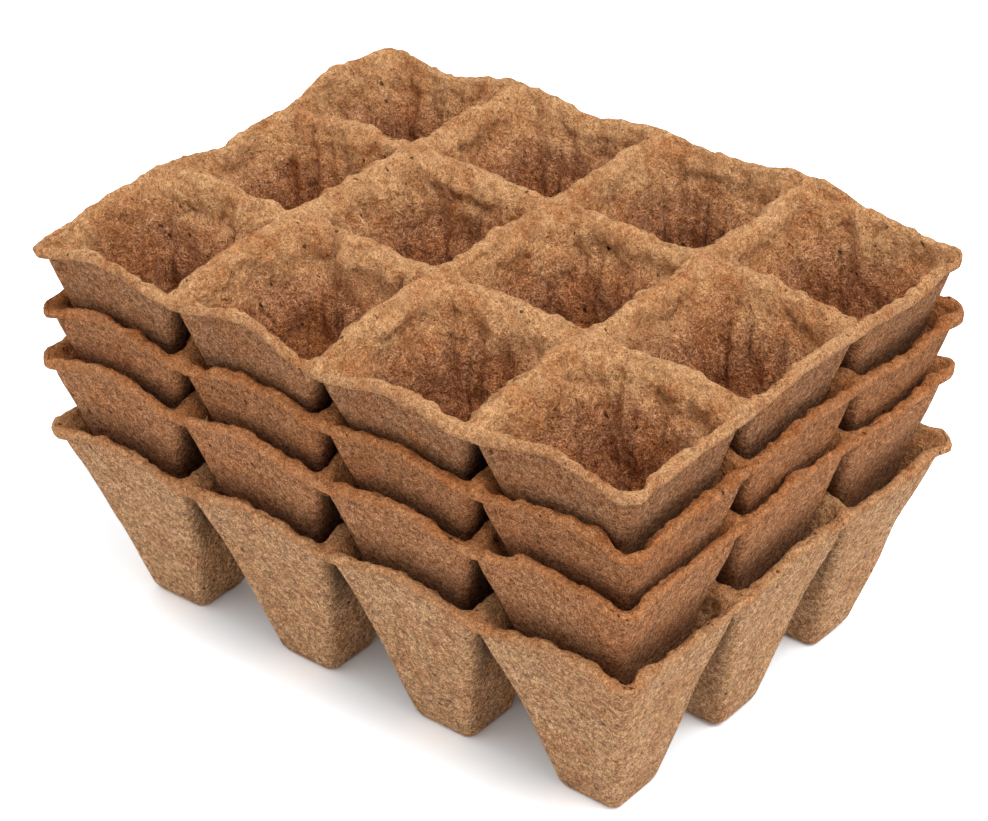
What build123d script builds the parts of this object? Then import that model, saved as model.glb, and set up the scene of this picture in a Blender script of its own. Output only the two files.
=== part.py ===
from build123d import *
import math
import os

# Four moulded peat-fibre trays of twelve tapered pots, nested one inside the next.
# The stack stands on the feet of the lowest tray, +Z up, X along the four pots.

# Layout of one tray
pot_pitch = 55.0
pots_along = 4
pots_across = 3

# One pot, measured outside: its wall leans out from the foot to the mouth
tray_height = 67.0
foot_width = 22.0
mouth_width = 53.3
wall = 3.1
floor_thickness = 3.0
pot_corner = 3.8
cell_corner = 3.4
foot_round = 2.4
cell_floor_round = 1.8

# The skin of ridges that joins the pots, and its lip past the outer walls
ridge_thickness = 3.2
ridge_round = 3.0
lip_reach = 1.2
lip_round = 1.0

# The rim runs in waves along the tray: high over each pot, low between two pots
rim_wave = 5.0
arch_share = 0.6
corner_fall = 6.0

# A blunt ear at each corner of the tray
ear_radius = 7.0
ear_reach = 2.4
ear_blend = 5.0

# The nest: level air gaps between nested walls, and how near two walls come where they bear
nest_gap = 1.2
low_nest_gap = 2.8
seat_clearance = 0.35

# The lowest tray has dried with its outer rows of pots drawn in at the foot
draw_in_along = 2.0

# Each tray has slipped sideways in the one below: places as shares of the slip
slip_shares = ((0.5, -0.5), (-0.5, -0.5), (0.5, 0.5), (-0.5, -0.5))

# One overrun for every cut
overrun = 1.0

# Worked out from the sizes above
foot_half = foot_width / 2
mouth_half = mouth_width / 2
taper = (mouth_half - foot_half) / tray_height
wall_across = wall * math.hypot(1, taper)
cell_half = mouth_half - wall_across
mouth_reach = cell_half + wall_across / 2
half_pitch = pot_pitch / 2
edge_gap = half_pitch - mouth_half
rim_length = pots_along * pot_pitch - 2 * edge_gap + 2 * lip_reach
rim_width = pots_across * pot_pitch - 2 * edge_gap + 2 * lip_reach
pot_rows = [(i - (pots_along - 1) / 2) * pot_pitch for i in range(pots_along)]
pot_files = [(j - (pots_across - 1) / 2) * pot_pitch for j in range(pots_across)]

nest_step = (wall_across + nest_gap) / taper
low_nest_step = (wall_across + low_nest_gap) / taper
slip = nest_gap - seat_clearance
bearing_share = 1 - (low_nest_step + foot_round) / tray_height
draw_in_across = (low_nest_gap - seat_clearance) / bearing_share

crest = tray_height + rim_wave / 2
dip = tray_height - rim_wave / 2
arch_half = arch_share * half_pitch
arch_foot = crest - arch_share * rim_wave
rim_end = rim_length / 2 + ear_reach + overrun
rim_end_height = crest - corner_fall
rim_floor = min(dip, rim_end_height) - ridge_thickness - overrun


def post_profile(lean, inset, low, high):
    """Corners of a pot's tapered outline between two heights, its foot moved by lean."""
    points = []
    for height, side in ((low, -1), (low, 1), (high, 1), (high, -1)):
        middle = lean * (1 - height / tray_height)
        half = foot_half + taper * height - inset
        points.append((middle + side * half, height))
    return points


def tapered_post(lean_x, lean_y, inset, low, high, side_round, end_round):
    """A four-sided tapered post with round corners and a round edge at its foot."""
    with BuildPart() as post:
        with BuildSketch(Plane.XZ):
            with BuildLine():
                Polyline(post_profile(lean_x, inset, low, high), close=True)
            make_face()
        extrude(amount=pot_pitch, both=True)
        with BuildSketch(Plane.YZ):
            with BuildLine():
                Polyline(post_profile(lean_y, inset, low, high), close=True)
            make_face()
        extrude(amount=pot_pitch, both=True, mode=Mode.INTERSECT)
        fillet(post.edges().group_by(Axis.Z)[1], radius=side_round)
        fillet(post.faces().sort_by(Axis.Z)[0].edges(), radius=end_round)
    return post.part


def rim_line(drop):
    """The wavy line of the rim, lowered by drop, as tangent arcs from end to end."""
    top = crest - drop
    low = dip - drop
    turn = arch_foot - drop
    end = rim_end_height - drop
    TangentArc((pot_rows[0], top), (-rim_end, end), tangent=(-1, 0))
    TangentArc((pot_rows[-1], top), (rim_end, end), tangent=(1, 0))
    for row in pot_rows[:-1]:
        following = row + pot_pitch
        TangentArc((row, top), (row + arch_half, turn), tangent=(1, 0))
        ThreePointArc((row + arch_half, turn), (row + half_pitch, low), (following - arch_half, turn))
        TangentArc((following, top), (following - arch_half, turn), tangent=(-1, 0))


# The skin of the rim and ridges, before the cells are cut
with BuildPart() as rim_skin:
    with BuildSketch(Plane.XZ) as skin_profile:
        with BuildLine():
            rim_line(0)
            rim_line(ridge_thickness)
            for end in (-rim_end, rim_end):
                Line((end, rim_end_height), (end, rim_end_height - ridge_thickness))
        make_face()
    extrude(amount=rim_width, both=True)
    with BuildSketch(Plane.XY.offset(rim_floor)) as rim_outline:
        Rectangle(rim_length, rim_width)
        ear_inset = ear_radius - ear_reach
        with GridLocations(rim_length - 2 * ear_inset, rim_width - 2 * ear_inset, 2, 2):
            Circle(ear_radius)
        fillet(rim_outline.vertices(), radius=ear_blend)
    extrude(amount=crest + overrun - rim_floor, mode=Mode.INTERSECT)
    seams = rim_skin.edges().filter_by(Axis.Y).filter_by_position(
        Axis.X, -pots_along * half_pitch + half_pitch, pots_along * half_pitch - half_pitch)
    lip_edges = rim_skin.edges().filter_by(Axis.Z, reverse=True) - seams
    fillet(lip_edges, radius=lip_round)


def moulded_tray(draw_along, draw_across):
    """One tray, its outermost pots' feet drawn in towards the tray's middle."""
    places = [(row, file) for row in pot_rows for file in pot_files]
    high = crest + overrun / 2
    with BuildPart() as tray:
        for row, file in places:
            lean = (-draw_along * row / pot_rows[-1], -draw_across * file / pot_files[-1])
            post = tapered_post(*lean, 0, 0, high, pot_corner, foot_round)
            with Locations((row, file)):
                add(post)
        with BuildSketch(Plane.XZ):
            with BuildLine():
                rim_line(0)
                ceiling = crest + 2 * overrun
                Polyline((-rim_end, rim_end_height), (-rim_end, ceiling),
                         (rim_end, ceiling), (rim_end, rim_end_height))
            make_face()
        extrude(amount=rim_width, both=True, mode=Mode.SUBTRACT)
        add(rim_skin.part)
        for row, file in places:
            lean = (-draw_along * row / pot_rows[-1], -draw_across * file / pot_files[-1])
            cell = tapered_post(*lean, wall_across, floor_thickness, high, cell_corner, cell_floor_round)
            with Locations((row, file)):
                add(cell, mode=Mode.SUBTRACT)
        mouths = ShapeList()
        near_rim = tray.edges().filter_by_position(Axis.Z, dip, crest)
        for row, file in places:
            around = near_rim.filter_by_position(Axis.X, row - mouth_reach, row + mouth_reach)
            mouths += around.filter_by_position(Axis.Y, file - mouth_reach, file + mouth_reach)
        fillet(mouths, radius=ridge_round)
    return tray.part


straight_tray = moulded_tray(0, 0)
drawn_tray = moulded_tray(draw_in_along, draw_in_across)

os.makedirs("parts", exist_ok=True)
heights = [0, low_nest_step, low_nest_step + nest_step, low_nest_step + 2 * nest_step]
for number, (height, shares) in enumerate(zip(heights, slip_shares), start=1):
    with BuildPart() as nested:
        with Locations((shares[0] * slip, shares[1] * slip, height)):
            add(drawn_tray if number == 1 else straight_tray)
    nested.part.label = f"tray_{number}"
    export_step(nested.part, f"parts/tray_{number}.step")
    print(nested.part.label, nested.part.bounding_box(), round(nested.part.volume))
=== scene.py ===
"""Looks of a nested stack of moulded peat-fibre seed trays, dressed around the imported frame."""

import logging
import math
from dataclasses import dataclass, field
from enum import Enum

import bpy
import numpy as np
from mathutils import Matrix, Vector


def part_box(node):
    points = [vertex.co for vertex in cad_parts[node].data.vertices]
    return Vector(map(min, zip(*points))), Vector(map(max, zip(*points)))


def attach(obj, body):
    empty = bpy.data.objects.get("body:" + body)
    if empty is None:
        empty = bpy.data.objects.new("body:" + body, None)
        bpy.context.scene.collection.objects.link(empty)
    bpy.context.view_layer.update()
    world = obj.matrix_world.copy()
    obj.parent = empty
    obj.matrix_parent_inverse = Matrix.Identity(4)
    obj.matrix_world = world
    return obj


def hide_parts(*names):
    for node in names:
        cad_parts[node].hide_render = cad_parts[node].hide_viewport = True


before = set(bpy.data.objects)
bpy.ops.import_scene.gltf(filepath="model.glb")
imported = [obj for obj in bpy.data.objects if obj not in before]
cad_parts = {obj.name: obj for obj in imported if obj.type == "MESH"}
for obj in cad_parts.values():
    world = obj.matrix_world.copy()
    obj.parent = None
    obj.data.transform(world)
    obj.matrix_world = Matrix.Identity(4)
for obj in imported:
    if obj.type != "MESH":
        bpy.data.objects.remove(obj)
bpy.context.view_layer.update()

log = logging.getLogger("peat_trays")

MM = 0.001

# The photograph's frame, in pixels, and the width of the camera's sensor in millimetres
PHOTO_WIDTH = 988
PHOTO_HEIGHT = 821
SENSOR_WIDTH = 36.0


# A cell's sides and corners are counted by quarter turns from +x. One wall of each cell may have deeper
# folds, and the corner at its far end is arched.
FOLDED_SIDE = 1
ARCHED_CORNER = 1

# Each tray's random draws start from a seed of its own, with steps between the seeds of its parts
FIRST_SEED = 11
OTHER_LUMPS_STEP = 50
CREASES_STEP = 100
FIBRES_STEP = 200


class Skin(Enum):
    """The two faces of a moulded tray."""

    INSIDE = "inside"
    OUTSIDE = "outside"


class Nest(Enum):
    """Where a tray lies in the stack."""

    LOWEST = 0
    SECOND = 1
    THIRD = 2
    TOP = 3

    @property
    def node(self) -> str:
        """Name of the tray's node."""
        return f"tray_{self.value + 1}"

    @property
    def body(self) -> str:
        """Name of the body that the tray rides on."""
        return f"{self.name.lower()}_tray"


def linear(red: int, green: int, blue: int) -> tuple[float, float, float, float]:
    """Turn an sRGB colour, 0 to 255, into the linear colour that a shader takes.

    Args:
        red: Red part.
        green: Green part.
        blue: Blue part.

    Returns:
        Linear red, green, blue and an alpha of one.
    """
    parts = []
    for part in (red, green, blue):
        share = part / 255
        parts.append(share / 12.92 if share <= 0.04045 else ((share + 0.055) / 1.055) ** 2.4)
    return parts[0], parts[1], parts[2], 1.0


def eased(low: float, high: float, values: np.ndarray) -> np.ndarray:
    """Rise smoothly from zero at low to one at high.

    Args:
        low: Value where the rise starts.
        high: Value where the rise ends.
        values: Values to grade.

    Returns:
        Shares from zero to one.
    """
    share = np.clip((values - low) / (high - low), 0, 1)
    return share * share * (3 - 2 * share)


def toward(azimuth: float, elevation: float) -> Vector:
    """Give the direction from the object to a camera or a lamp.

    Args:
        azimuth: Degrees round from -y towards +x.
        elevation: Degrees up from the floor.

    Returns:
        A unit direction.
    """
    turn = math.radians(azimuth)
    lift = math.radians(elevation)
    return Vector((math.sin(turn) * math.cos(lift), -math.cos(turn) * math.cos(lift), math.sin(lift)))


def band(upper: np.ndarray, lower: np.ndarray) -> np.ndarray:
    """Join two closed rows of points with faces.

    Args:
        upper: Indices of one row.
        lower: Indices of the next row, in the same order.

    Returns:
        Rows of four indices.
    """
    return np.column_stack([upper, lower, np.roll(lower, -1), np.roll(upper, -1)])


class Lumps:
    """Seeded smooth unevenness in space, between about minus one and one."""

    side: int = 32
    layer_shift: float = 7.3
    crumple_shift: float = 11.9
    crumple_mean: float = 0.6
    crumple_fall: float = 1.7

    def __init__(self, seed: int) -> None:
        """Draw the lattice of random values."""
        self.values = np.random.default_rng(seed).uniform(-1, 1, (self.side,) * 3)

    def at(self, points: np.ndarray, size: float) -> np.ndarray:
        """Read the unevenness at many points.

        Args:
            points: Rows of x, y, z.
            size: Length of one lump, in the points' units.

        Returns:
            One value for each point.
        """
        scaled = points / size
        base = np.floor(scaled).astype(int)
        part = scaled - base
        part = part * part * part * (part * (part * 6 - 15) + 10)
        total = np.zeros(len(points))
        for corner in np.ndindex(2, 2, 2):
            weight = np.ones(len(points))
            for axis, step in enumerate(corner):
                weight = weight * (part[:, axis] if step else 1 - part[:, axis])
            place = (base + corner) % self.side
            total += weight * self.values[place[:, 0], place[:, 1], place[:, 2]]
        return total

    def layered(self, points: np.ndarray, size: float, layers: int = 3) -> np.ndarray:
        """Add finer and finer unevenness, each layer half as large and half as high.

        Args:
            points: Rows of x, y, z.
            size: Length of the largest lump.
            layers: How many layers are added.

        Returns:
            One value for each point.
        """
        total = np.zeros(len(points))
        for layer in range(layers):
            shifted = points + self.layer_shift * layer
            total += self.at(shifted, size / 2 ** layer) / 2 ** layer
        return total

    def crumpled(self, points: np.ndarray, size: float, layers: int = 3) -> np.ndarray:
        """Add layers of soft humps that meet in sharp creases.

        Args:
            points: Rows of x, y, z.
            size: Length of the largest hump.
            layers: How many layers are added.

        Returns:
            One value for each point, about zero on the whole and lowest in the creases.
        """
        total = np.zeros(len(points))
        for layer in range(layers):
            humps = np.abs(self.at(points + self.crumple_shift * layer, size / 2 ** layer)) * 2
            total += (humps - self.crumple_mean) / self.crumple_fall ** layer
        return total


@dataclass(frozen=True)
class PotForm:
    """One moulded pot and its share of the rim, in millimetres."""

    pitch: float = 55.0
    rows: int = 4
    files: int = 3
    height: float = 69.2
    foot_half: float = 11.0
    mouth_half: float = 27.17
    wall: float = 3.1
    floor: float = 3.0
    rim_skin: float = 3.2
    foot_round: float = 2.6
    floor_round: float = 3.0
    shoulder_drop: float = 12.0
    shoulder_reach: float = 3.4
    root_round: float = 1.0
    foot_corner: float = 3.8
    top_corner: float = 2.0
    arch_half: float = 21.0
    arch_corner: float = 11.0
    cell_corner: float = 3.4
    crest_corner: float = 1.6
    tray_corner: float = 5.0
    lip_start: float = 26.5
    lip_reach: float = 1.2
    crest_half: float = 1.0
    octant_steps: int = 16

    @property
    def taper(self) -> float:
        """How far the wall leans out for each millimetre of height."""
        return (self.mouth_half - self.foot_half) / self.height

    @property
    def half_pitch(self) -> float:
        """Half the distance from pot to pot."""
        return self.pitch / 2

    @property
    def across(self) -> float:
        """The wall's thickness measured level."""
        return self.wall * math.hypot(1, self.taper)

    def inside_path(self) -> "Profile":
        """Profile of the cell, from the middle of its floor to the middle of the ridge."""
        floor_half = self.foot_half + self.taper * self.floor - self.across
        mouth = self.mouth_half - self.across
        points = [(0.0, self.floor), (floor_half, self.floor),
                  (mouth, self.height), (self.half_pitch, self.height)]
        cuts = [(self.floor_round, self.floor_round), (self.shoulder_drop, self.shoulder_reach)]
        return Profile(points, cuts, run_steps=[2, 24, 1], round_steps=[2, 14], crowding=[1.0, 1.35, 1.0])

    def outside_path(self) -> "Profile":
        """Profile of the pot's outside, from the middle of its foot to under the ridge."""
        under = self.height - self.rim_skin
        reach = self.foot_half + self.taper * under
        points = [(0.0, 0.0), (self.foot_half, 0.0), (reach, under), (self.half_pitch, under)]
        cuts = [(self.foot_round, self.foot_round), (self.root_round, self.root_round)]
        return Profile(points, cuts, run_steps=[2, 11, 1], round_steps=[2, 2], crowding=[1.0, 1.3, 1.0])


@dataclass
class Profile:
    """A line of runs and rounded corners across a pot, from its middle outwards.

    cuts are how far before and after each corner its curve reaches, and crowding above one sets the steps of
    a run closer together towards the run's end.
    """

    points: list[tuple[float, float]]
    cuts: list[tuple[float, float]]
    run_steps: list[int]
    round_steps: list[int]
    crowding: list[float]

    def stations(self) -> np.ndarray:
        """Walk along the profile.

        Returns:
            Rows of distance from the middle, and height.
        """
        corners = [np.array(point) for point in self.points]
        legs = [(b - a) / np.linalg.norm(b - a) for a, b in zip(corners, corners[1:])]
        places = []
        for number, steps in enumerate(self.run_steps):
            start = corners[number]
            end = corners[number + 1]
            if number:
                start = start + legs[number] * self.cuts[number - 1][1]
            if number < len(self.cuts):
                end = end - legs[number] * self.cuts[number][0]
            first = 0 if number == 0 else 1
            shares = [1 - (1 - step / steps) ** self.crowding[number] for step in range(first, steps + 1)]
            places += [start + (end - start) * share for share in shares]
            if number < len(self.cuts):
                places += self.rounded(number, corners[number + 1], legs[number], legs[number + 1])
        return np.array(places[1:])

    def rounded(self, number: int, corner: np.ndarray, before: np.ndarray,
                after: np.ndarray) -> list[np.ndarray]:
        """Round one corner with a curve that leaves both legs without a kink.

        Args:
            number: Which corner it is.
            corner: The sharp corner.
            before: Direction of the leg that comes in.
            after: Direction of the leg that goes out.

        Returns:
            Points on the curve after its start.
        """
        start = corner - before * self.cuts[number][0]
        end = corner + after * self.cuts[number][1]
        curve = []
        steps = self.round_steps[number]
        for step in range(1, steps + 1):
            share = step / steps
            curve.append(start * (1 - share) ** 2 + corner * 2 * share * (1 - share) + end * share ** 2)
        return curve


@dataclass
class RimForm:
    """How far one tray's rim falls below the level of its inner ridges, in millimetres.

    near and far give the fall along the long sides, from -x to +x, at a corner, the middle of a pot, the end
    of a ridge and so on by turns to the other corner. left and right give it along the short sides, from -y
    to +y, between the corners.
    """

    pot: PotForm
    near: tuple[float, ...]
    far: tuple[float, ...] = (3.5, 4.5, 0.5, 2.0, 0.0, 1.0, -0.5, 2.0, 4.5)
    left: tuple[float, ...] = (2.6, 1.3, 5.6, 4.0, 0.5)
    right: tuple[float, ...] = (4.6, 4.4, 3.0, 4.2, 6.0)
    reach: float = 36.0
    ear_reach: float = 1.6
    ear_place: float = 4.0
    ear_spread: float = 4.4

    def along(self, places: np.ndarray, falls: tuple[float, ...]) -> np.ndarray:
        """Run smoothly from fall to fall along one side.

        Args:
            places: Places along the side, from its middle.
            falls: Falls at every half pitch, from one corner to the other.

        Returns:
            Fall at each place.
        """
        steps = len(falls) - 1
        walked = np.clip(places / self.pot.half_pitch + steps / 2, 0, steps - 1e-6)
        before = walked.astype(int)
        share = eased(0.0, 1.0, walked - before)
        known = np.array(falls)
        return known[before] * (1 - share) + known[before + 1] * share

    def rise(self, x: np.ndarray, y: np.ndarray) -> np.ndarray:
        """Give the rim's height over the level of the inner ridges.

        Args:
            x: Places along the tray.
            y: Places across the tray.

        Returns:
            Rise at each place, below zero where the rim falls.
        """
        pot = self.pot
        to_long = np.clip((np.abs(y) - pot.files * pot.half_pitch) / self.reach + 1, 0, 1) ** 2
        to_short = np.clip((np.abs(x) - pot.rows * pot.half_pitch) / self.reach + 1, 0, 1) ** 2
        near, far = self.along(x, self.near), self.along(x, self.far)
        left = self.along(y, (self.near[0], *self.left, self.far[0]))
        right = self.along(y, (self.near[-1], *self.right, self.far[-1]))
        long_side = np.where(y < 0, near, far)
        short_side = np.where(x < 0, left, right)
        corner = np.where(x < 0, np.where(y < 0, self.near[0], self.far[0]),
                          np.where(y < 0, self.near[-1], self.far[-1]))
        return -(to_long * long_side + to_short * short_side - to_long * to_short * corner)

    def ear(self, along: np.ndarray) -> np.ndarray:
        """Give how far the rim is pushed out near a tray's corner.

        Args:
            along: Distance from the corner along the rim.

        Returns:
            Outward push.
        """
        return self.ear_reach * np.exp(-(((along - self.ear_place) / self.ear_spread) ** 2))


@dataclass
class Skinned:
    """Points of one face of a tray, each with what is known about it."""

    unit: np.ndarray
    place: np.ndarray
    along: np.ndarray
    side: np.ndarray
    pot_number: np.ndarray
    zone: np.ndarray
    # painted shade: how far each point's colour is darkened, in the channels between pots and where another
    # tray covers it
    painted_shade: np.ndarray


@dataclass(frozen=True)
class CreaseKind:
    """What one kind of pressed crease is drawn from, in millimetres and radians.

    A hump of pushed-up fibre runs beside each crease. hump_off and hump_width give its place and width by the
    crease's width, and hump_share its height by the crease's depth.
    """

    start: float
    depth: tuple[float, float]
    turn: float
    length: tuple[float, float]
    bend: float
    height: tuple[float, float]
    width: tuple[float, float] = (0.8, 1.2)
    wander: float = 0.9
    wander_turn: tuple[float, float] = (0.3, 0.8)
    end_fade: tuple[float, float] = (5.0, -4.0)
    hump_off: float = 2.4
    hump_width: float = 1.9
    hump_share: float = 0.5


LONG_FOLD = CreaseKind(12.0, (3.5, 8.0), 0.3, (10.0, 24.0), 0.02, (0.5, 0.9))
SMALL_CREASE = CreaseKind(20.0, (2.0, 30.0), 1.5, (3.0, 11.0), 0.05, (0.2, 0.6))


@dataclass
class TrayShell:
    """One moulded tray: twelve tapered pots in one skin of ridges with a ragged lip.

    Lengths are in millimetres. A pair called lump, crumple or ragged gives the length of one lump and its
    height, and a pair called starts gives a distance from a pot's middle for the inner and the outer face.
    The other pairs say where a thing starts and where it is whole. Those called fade, near or clear count in
    depth under the mouth, floor_clear in height over the cell's floor, those called edge in distance inwards
    from the tray's edge, and those called shares in shares of the pot's height.
    """

    nest: Nest
    pot: PotForm
    rim: RimForm
    seed: int
    drawn_in: tuple[float, float] = (2.0, 4.2)
    nest_room: float = 0.3
    cover_room: float = 0.3
    # Painted shade on the outside where it sits in the tray below, and on the inside under the tray above
    nested_height: float = 48.0
    nested_shade: float = 0.33
    covered_shade: float = 0.18
    squeeze_starts: tuple[float, float] = (20.0, 25.0)
    ear_starts: tuple[float, float] = (21.0, 25.5)
    wave_shares: tuple[float, float] = (0.45, 0.94)
    room_fade: tuple[float, float] = (3.0, 12.0)
    cover_depth: float = 1.0
    foot_flat: float = 2.0
    mouth_clear: tuple[float, float] = (0.5, 8.0)
    floor_clear: tuple[float, float] = (-1.0, 8.0)
    wall_end_fade: float = 4.0
    flute_width: float = 6.5
    flute_draw: float = 3.4
    flute_depth: float = 1.8
    dent_width: float = 10.0
    dent_depth: float = 1.7
    folds_fewest: int = 8
    folds_most: int = 12
    long_folds: int = 2
    deep_fold_chance: float = 0.5
    deep_fold_share: float = 1.3
    # The darkest painted shade in a crease
    darkest_crease_shade: float = 0.6
    ridge_near: tuple[float, float] = (16.0, 3.0)
    ridge_lump: tuple[float, float] = (13.0, 0.8)
    ridge_crumple: tuple[float, float] = (8.0, 0.85)
    ridge_fine_lump: tuple[float, float] = (3.5, 0.5)
    free_shares: tuple[float, float] = (0.7, 0.84)
    outer_lump: tuple[float, float] = (19.0, 0.55)
    outer_fine_lump: tuple[float, float] = (5.5, 0.14)
    lip_ragged: tuple[float, float] = (8.0, 0.7)
    lip_fine_ragged: tuple[float, float] = (3.0, 0.5)
    lip_droop_lump: tuple[float, float] = (9.0, 0.35)
    least_lip: float = 0.3
    lip_bluntness: float = 0.8
    lip_steps: int = 8
    ridge_fade: tuple[float, float] = (24.0, 3.0)
    # Depths where the painted shade of the cells' depths starts and where it is whole
    deep_shade_fade: tuple[float, float] = (12.0, 40.0)
    # Where the painted shade of the channels between pots and of covered insides lies
    channel_shares: tuple[float, float] = (0.3, 0.8)
    channel_edge: tuple[float, float] = (1.0, 8.0)
    cover_edge: tuple[float, float] = (2.0, 9.0)
    lip_zone: tuple[float, float, float, float] = (0.8, 0.0, 0.25, 0.0)
    middle: np.ndarray = field(default_factory=lambda: np.zeros(3))

    def __post_init__(self) -> None:
        """Find the tray's place from the frame, and start its random draws."""
        low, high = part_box(self.nest.node)
        self.middle = np.array([(low.x + high.x) / 2, (low.y + high.y) / 2, low.z]) / MM
        self.lumps = Lumps(self.seed)
        self.other_lumps = Lumps(self.seed + OTHER_LUMPS_STEP)
        self.random = np.random.default_rng(self.seed + CREASES_STEP)

    @property
    def inner_room(self) -> float:
        """Share of its full crumpling that the inside has room for."""
        return 1.0 if self.nest is Nest.TOP else self.nest_room

    @property
    def outer_room(self) -> float:
        """Share of its full unevenness that the outside has room for."""
        return 1.0 if self.nest is Nest.LOWEST else self.nest_room

    @property
    def lean(self) -> tuple[float, float]:
        """How far the outermost pots' feet are drawn in along and across the tray."""
        return self.drawn_in if self.nest is Nest.LOWEST else (0.0, 0.0)

    @property
    def half_length(self) -> float:
        """Half the tray's length in the pots' regular pattern."""
        return self.pot.rows * self.pot.half_pitch

    @property
    def half_width(self) -> float:
        """Half the tray's width in the pots' regular pattern."""
        return self.pot.files * self.pot.half_pitch

    def ring(self, half: float, rounds: np.ndarray) -> tuple[np.ndarray, np.ndarray, np.ndarray]:
        """Lay points evenly round one square ring with rounded corners.

        Args:
            half: Half the ring's width.
            rounds: Corner radius for each of the four corners.

        Returns:
            Points in plan, each point's distance along its side, and its side's number.
        """
        steps = self.pot.octant_steps
        points, alongs, sides = [], [], []
        for octant in range(8):
            forward = octant % 2 == 0
            radius = min(rounds[octant // 2], half)
            straight = half - radius
            length = straight + radius * math.pi / 4
            share = np.arange(steps) / steps
            walked = (share if forward else 1 - share) * length
            turn = np.clip((walked - straight) / max(radius, 1e-9), 0, math.pi / 4)
            on_arc = walked > straight
            out = np.where(on_arc, straight + radius * np.cos(turn), half)
            along = np.where(on_arc, straight + radius * np.sin(turn), walked)
            along = along if forward else -along
            side = (octant + 1) // 2 % 4
            angle = side * math.pi / 2
            points.append(np.column_stack([
                out * math.cos(angle) - along * math.sin(angle),
                out * math.sin(angle) + along * math.cos(angle)]))
            alongs.append(along)
            sides.append(np.full(steps, side))
        return np.concatenate(points), np.concatenate(alongs), np.concatenate(sides)

    def corner_rounds(self, face: Skin, half: float, row: int, file: int) -> np.ndarray:
        """Give the corner radii of a ring of one pot.

        Args:
            face: Which face of the tray the ring is on.
            half: Half the ring's width.
            row: The pot's row along the tray.
            file: The pot's file across the tray.

        Returns:
            Radius at the corners (+x +y), (-x +y), (-x -y) and (+x -y).
        """
        pot = self.pot
        crest = pot.half_pitch - pot.crest_half
        if face is Skin.OUTSIDE:
            usual = pot.foot_corner + (pot.top_corner - pot.foot_corner) * half / pot.half_pitch
            usual *= 1 - eased(crest, pot.half_pitch, np.array(half)).item()
            rounds = np.full(4, usual)
        else:
            usual = self.cell_round(half, crest, pot.cell_corner)
            rounds = np.full(4, usual)
            rounds[ARCHED_CORNER] = self.cell_round(half, crest, pot.arch_corner)
        for corner, (x_end, y_end) in enumerate(((1, 1), (-1, 1), (-1, -1), (1, -1))):
            at_x = row == (pot.rows - 1 if x_end > 0 else 0)
            at_y = file == (pot.files - 1 if y_end > 0 else 0)
            if at_x and at_y and (face is Skin.OUTSIDE or half > crest):
                rounds[corner] = max(usual, pot.tray_corner * half / pot.half_pitch)
        return rounds

    def cell_round(self, half: float, crest: float, widest: float) -> float:
        """Give one corner's radius in a cell: widest under the mouth, nearly sharp on the ridge.

        Args:
            half: Half the ring's width.
            crest: Half the width of the ring on the ridge's top.
            widest: The largest radius.

        Returns:
            The radius.
        """
        pot = self.pot
        if half <= pot.arch_half:
            return pot.foot_corner + (widest - pot.foot_corner) * (half / pot.arch_half) ** 2
        if half <= crest:
            return widest + (pot.crest_corner - widest) * (half - pot.arch_half) / (crest - pot.arch_half)
        return pot.crest_corner * (pot.half_pitch - half) / (pot.half_pitch - crest)

    def skin(self, face: Skin) -> tuple[Skinned, np.ndarray]:
        """Make the points and faces of one face of the tray in its regular form.

        Args:
            face: Which face of the tray.

        Returns:
            The points, and faces as rows of four indices.
        """
        pot = self.pot
        path = pot.inside_path() if face is Skin.INSIDE else pot.outside_path()
        stations = path.stations()
        count = 8 * pot.octant_steps
        names = ("unit", "along", "side", "pot")
        columns: dict[str, list[np.ndarray]] = {name: [] for name in names}
        faces = []
        start = 0
        around = np.arange(count)
        for number in range(pot.rows * pot.files):
            row, file = divmod(number, pot.files)
            centre = np.array([(row - (pot.rows - 1) / 2), (file - (pot.files - 1) / 2)]) * pot.pitch
            hub = (np.array([[*centre, stations[0, 1]]]), np.zeros(1), np.zeros(1, int), np.array([number]))
            for name, values in zip(names, hub):
                columns[name].append(values)
            for half, height in stations:
                plan, along, side = self.ring(half, self.corner_rounds(face, half, row, file))
                ring = (np.column_stack([plan + centre, np.full(count, height)]), along, side,
                        np.full(count, number))
                for name, values in zip(names, ring):
                    columns[name].append(values)
            first = start + 1 + around
            following = np.roll(first, -1)
            faces.append(np.column_stack([np.full(count, start), first, following, following]))
            for level in range(len(stations) - 1):
                faces.append(band(first + level * count, first + (level + 1) * count))
            start += 1 + len(stations) * count
        unit = np.concatenate(columns["unit"])
        kept, back = np.unique(np.round(unit, 4), axis=0, return_inverse=True)
        firsts = np.full(len(kept), -1)
        back = back.reshape(-1)
        firsts[back[::-1]] = np.arange(len(unit))[::-1]
        joined = back[np.concatenate(faces)]
        known = {name: np.concatenate(parts)[firsts] for name, parts in columns.items()}
        skinned = Skinned(
            unit=known["unit"], place=known["unit"].copy(), along=known["along"], side=known["side"],
            pot_number=known["pot"], zone=np.zeros((len(kept), 4)), painted_shade=np.zeros(len(kept)))
        return skinned, joined

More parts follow.
